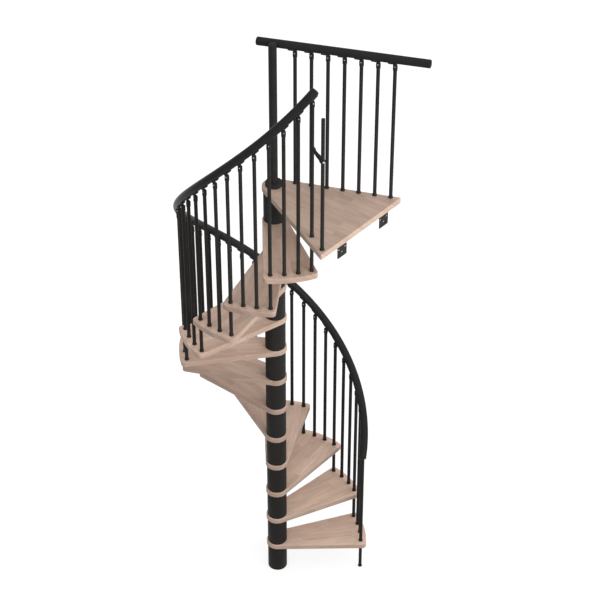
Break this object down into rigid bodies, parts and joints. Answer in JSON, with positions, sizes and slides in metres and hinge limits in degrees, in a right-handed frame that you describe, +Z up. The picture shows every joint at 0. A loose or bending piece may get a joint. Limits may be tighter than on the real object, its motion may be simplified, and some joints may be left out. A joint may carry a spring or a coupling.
{
  "type": "spiral staircase",
  "caption": "Spiral staircase with wedge-shaped wooden treads round a black steel column, slim upright balusters, a round helical handrail and a three-sided landing with its own guard rail.",
  "frame": {"origin": "on the column's axis at floor level, on the underside of the base plate", "axes": "+Z up along the column; +X from the column to the upper floor that the landing meets; the stair climbs anticlockwise seen from above"},
  "size_m": [1.2973, 1.116, 3.7966],
  "materials": {
    "black_steel": "satin",
    "beech": "satin lacquer",
    "rail_plastic": "satin"
  },
  "bodies": {
    "root": {"base_plate": "black_steel", "central_pole": "black_steel", "pole_cap": "black_steel", "pole_collar": "black_steel", "column_spacers": "black_steel", "landing_bracket_near": "black_steel", "landing_bracket_far": "black_steel", "spiral_balusters": "black_steel", "landing_balusters": "black_steel", "corner_baluster": "black_steel", "corner_link": "black_steel", "foot_collars": "black_steel", "spiral_rail_saddles": "black_steel", "landing_rail_saddles": "black_steel", "tread_1": "beech", "tread_2": "beech", "tread_3": "beech", "tread_4": "beech", "tread_5": "beech", "tread_6": "beech", "tread_7": "beech", "tread_8": "beech", "tread_9": "beech", "tread_10": "beech", "tread_11": "beech", "tread_12": "beech", "landing": "beech", "handrail_1": "rail_plastic", "handrail_2": "rail_plastic", "handrail_3": "rail_plastic", "handrail_4": "rail_plastic", "handrail_5": "rail_plastic", "handrail_6": "rail_plastic", "handrail_7": "rail_plastic", "handrail_8": "rail_plastic", "handrail_9": "rail_plastic", "handrail_10": "rail_plastic", "handrail_11": "rail_plastic", "handrail_12": "rail_plastic", "handrail_13": "rail_plastic", "landing_handrail": "rail_plastic", "rail_end_caps": "rail_plastic"}
  },
  "joints": []
}
